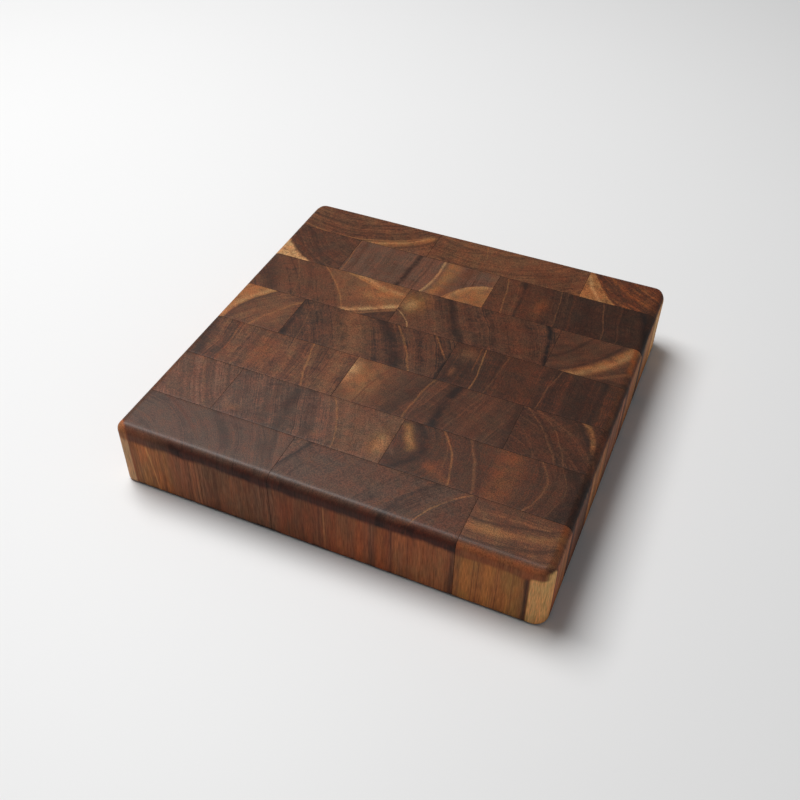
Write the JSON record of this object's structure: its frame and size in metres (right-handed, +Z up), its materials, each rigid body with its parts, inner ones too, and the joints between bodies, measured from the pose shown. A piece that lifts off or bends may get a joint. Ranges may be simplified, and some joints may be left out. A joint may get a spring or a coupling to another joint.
{
  "type": "cutting board",
  "caption": "Thick square end-grain wooden cutting board, a staggered glue-up of long blocks with rounded corners and edges.",
  "frame": {"origin": "centre of the flat underside, on the surface the board lies on", "axes": "+Z up through the thickness to the cutting surface; +X along the rows of blocks; +Y across the rows, from the front edge to the back edge"},
  "size_m": [0.3, 0.3, 0.052],
  "materials": {
    "wood_brown": "satin oiled hardwood, mid brown heartwood",
    "wood_dark": "satin oiled hardwood, dark heartwood",
    "wood_golden": "satin oiled hardwood, golden brown with pale sapwood",
    "glue_line": "dark cured wood glue flush with the surface"
  },
  "bodies": {
    "root": {"row1_left_block": "wood_brown", "row1_middle_block": "wood_brown", "row1_right_block": "wood_golden", "row2_left_block": "wood_brown", "row2_middle_block": "wood_brown", "row2_right_block": "wood_golden", "row3_left_block": "wood_golden", "row3_middle_block": "wood_brown", "row3_right_block": "wood_brown", "row4_left_block": "wood_golden", "row4_middle_block": "wood_dark", "row4_right_block": "wood_golden", "row5_left_block": "wood_dark", "row5_middle_block": "wood_brown", "row5_right_block": "wood_dark", "row6_left_block": "wood_dark", "row6_middle_block": "wood_dark", "row6_right_block": "wood_dark", "row7_left_block": "wood_brown", "row7_middle_block": "wood_brown", "row7_right_block": "wood_golden", "row1_left_glue": "glue_line", "row1_right_glue": "glue_line", "row2_left_glue": "glue_line", "row2_right_glue": "glue_line", "row3_left_glue": "glue_line", "row3_right_glue": "glue_line", "row4_left_glue": "glue_line", "row4_right_glue": "glue_line", "row5_left_glue": "glue_line", "row5_right_glue": "glue_line", "row6_left_glue": "glue_line", "row6_right_glue": "glue_line", "row7_left_glue": "glue_line", "row7_right_glue": "glue_line", "seam1_glue": "glue_line", "seam2_glue": "glue_line", "seam3_glue": "glue_line", "seam4_glue": "glue_line", "seam5_glue": "glue_line", "seam6_glue": "glue_line"}
  },
  "joints": []
}
